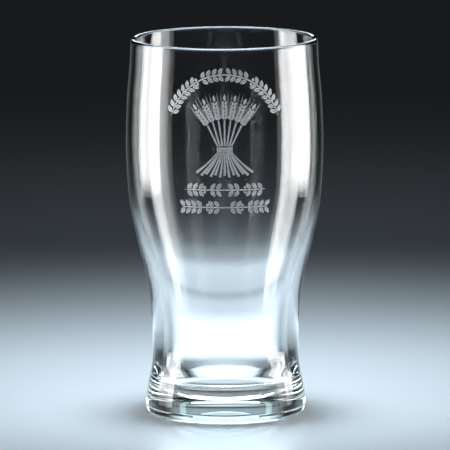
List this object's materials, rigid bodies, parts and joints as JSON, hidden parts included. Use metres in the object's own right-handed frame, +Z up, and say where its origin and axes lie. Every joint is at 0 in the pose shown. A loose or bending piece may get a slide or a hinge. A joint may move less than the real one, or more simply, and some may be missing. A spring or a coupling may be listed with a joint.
{
  "type": "pint glass",
  "caption": "Tulip-shaped pint glass with a narrow waist, a dished floor over a hollowed base, a fire-polished rim and a frosted leaf and barley decoration on its front.",
  "frame": {"origin": "centre of the bottom of the glass, on the plane it stands on", "axes": "+Z up along the glass's axis; the decoration faces -Y"},
  "size_m": [0.084, 0.0846, 0.161],
  "materials": {
    "clear_glass": "clear, fire-polished",
    "frosted_glass": "frosted, fine grain"
  },
  "bodies": {
    "root": {"glass_vessel": "clear_glass", "frosted_leaf_arch": "frosted_glass", "frosted_barley_sheaf": "frosted_glass", "frosted_upper_sprig": "frosted_glass", "frosted_lower_sprig": "frosted_glass"}
  },
  "joints": []
}
